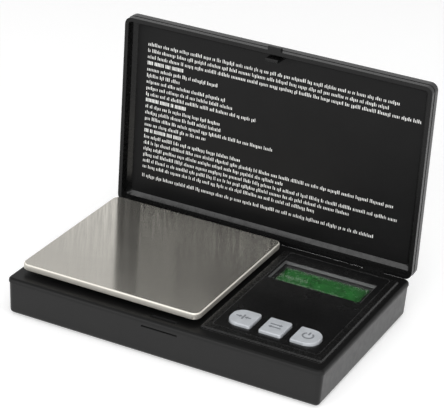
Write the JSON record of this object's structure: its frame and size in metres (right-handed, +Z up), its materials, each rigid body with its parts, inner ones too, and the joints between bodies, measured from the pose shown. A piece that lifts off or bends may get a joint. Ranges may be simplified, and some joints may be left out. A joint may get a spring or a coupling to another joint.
{
  "type": "digital precision scale",
  "caption": "Pocket scale in a flat black case: steel weighing plate, display and keys under a lid hinged along the back, shown open.",
  "frame": {"origin": "centre of the case's flat underside; the feet stand 0.6 mm below it", "axes": "+X to the right towards the keys, +Y to the back towards the hinge, +Z up"},
  "size_m": [0.128, 0.0888, 0.0947],
  "materials": {
    "case": "fine moulded grain, black",
    "lid": "smooth black, satin",
    "print_film": "satin black film with pale marks",
    "panel": "satin black",
    "overlay": "fine matt film",
    "lens": "clear",
    "display": "green display glass",
    "diffuser": "milky",
    "holder": "pale grey",
    "elastomer": "soft, striped",
    "board": "green solder mask",
    "chip": "moulded black",
    "key": "light grey, satin",
    "switch": "black",
    "stainless": "brushed front to back",
    "carrier": "dark grey",
    "steel": "plated",
    "aluminium": "milled",
    "gauge_foil": "amber film",
    "wire": "red insulation",
    "cell": "plain sleeve",
    "contact": "plated spring steel",
    "door": "fine moulded grain, black",
    "rubber": "soft black"
  },
  "bodies": {
    "base": {"bottom_case": "case", "top_deck": "case", "hinge_pins": "steel", "control_panel": "panel", "panel_overlay": "overlay", "lcd_window": "lens", "lcd_glass": "display", "backlight": "diffuser", "lcd_holder": "holder", "elastomer_strip": "elastomer", "circuit_board": "board", "board_screws": "steel", "microcontroller": "chip", "converter_chip": "chip", "crystal": "steel", "switch_bodies": "switch", "load_cell": "aluminium", "load_cell_screws": "steel", "strain_gauges": "gauge_foil", "gauge_terminal": "holder", "load_cell_wires": "wire", "overload_screw": "steel", "battery_cells": "cell", "link_contact": "contact", "spring_contact": "contact", "plate_contact": "contact", "battery_wires": "wire", "rubber_feet": "rubber", "case_screws": "steel"},
    "lid": {"lid": "lid", "lid_label": "print_film"},
    "platform": {"platform": "stainless", "platform_carrier": "carrier", "carrier_screws": "steel"},
    "key_tare_body": {"key_tare": "key", "switch_plunger_tare": "switch"},
    "key_mode_body": {"key_mode": "key", "switch_plunger_mode": "switch"},
    "key_power_body": {"key_power": "key", "switch_plunger_power": "switch"},
    "battery_door": {"battery_door": "door"}
  },
  "joints": [
    {"name": "lid_hinge", "type": "hinge", "parent": "base", "child": "lid", "pos_m": [0, 0.03907, 0.01243], "axis": [1, 0, 0], "range_deg": [0, 90]},
    {"name": "platform_travel", "type": "slide", "parent": "base", "child": "platform", "axis": [0, 0, -1], "range_m": [0, 0.0003], "stiffness_N_per_m": 20000, "deforming": ["load_cell"]},
    {"name": "key_tare_press", "type": "slide", "parent": "base", "child": "key_tare_body", "axis": [0, 0, -1], "range_m": [0, 0.0005], "stiffness_N_per_m": 2500},
    {"name": "key_mode_press", "type": "slide", "parent": "base", "child": "key_mode_body", "axis": [0, 0, -1], "range_m": [0, 0.0005], "stiffness_N_per_m": 2500},
    {"name": "key_power_press", "type": "slide", "parent": "base", "child": "key_power_body", "axis": [0, 0, -1], "range_m": [0, 0.0005], "stiffness_N_per_m": 2500},
    {"name": "battery_door_hinge", "type": "hinge", "parent": "base", "child": "battery_door", "pos_m": [-0.0581, -0.0199, 0.0006], "axis": [0, 1, 0], "range_deg": [0, 60]}
  ]
}
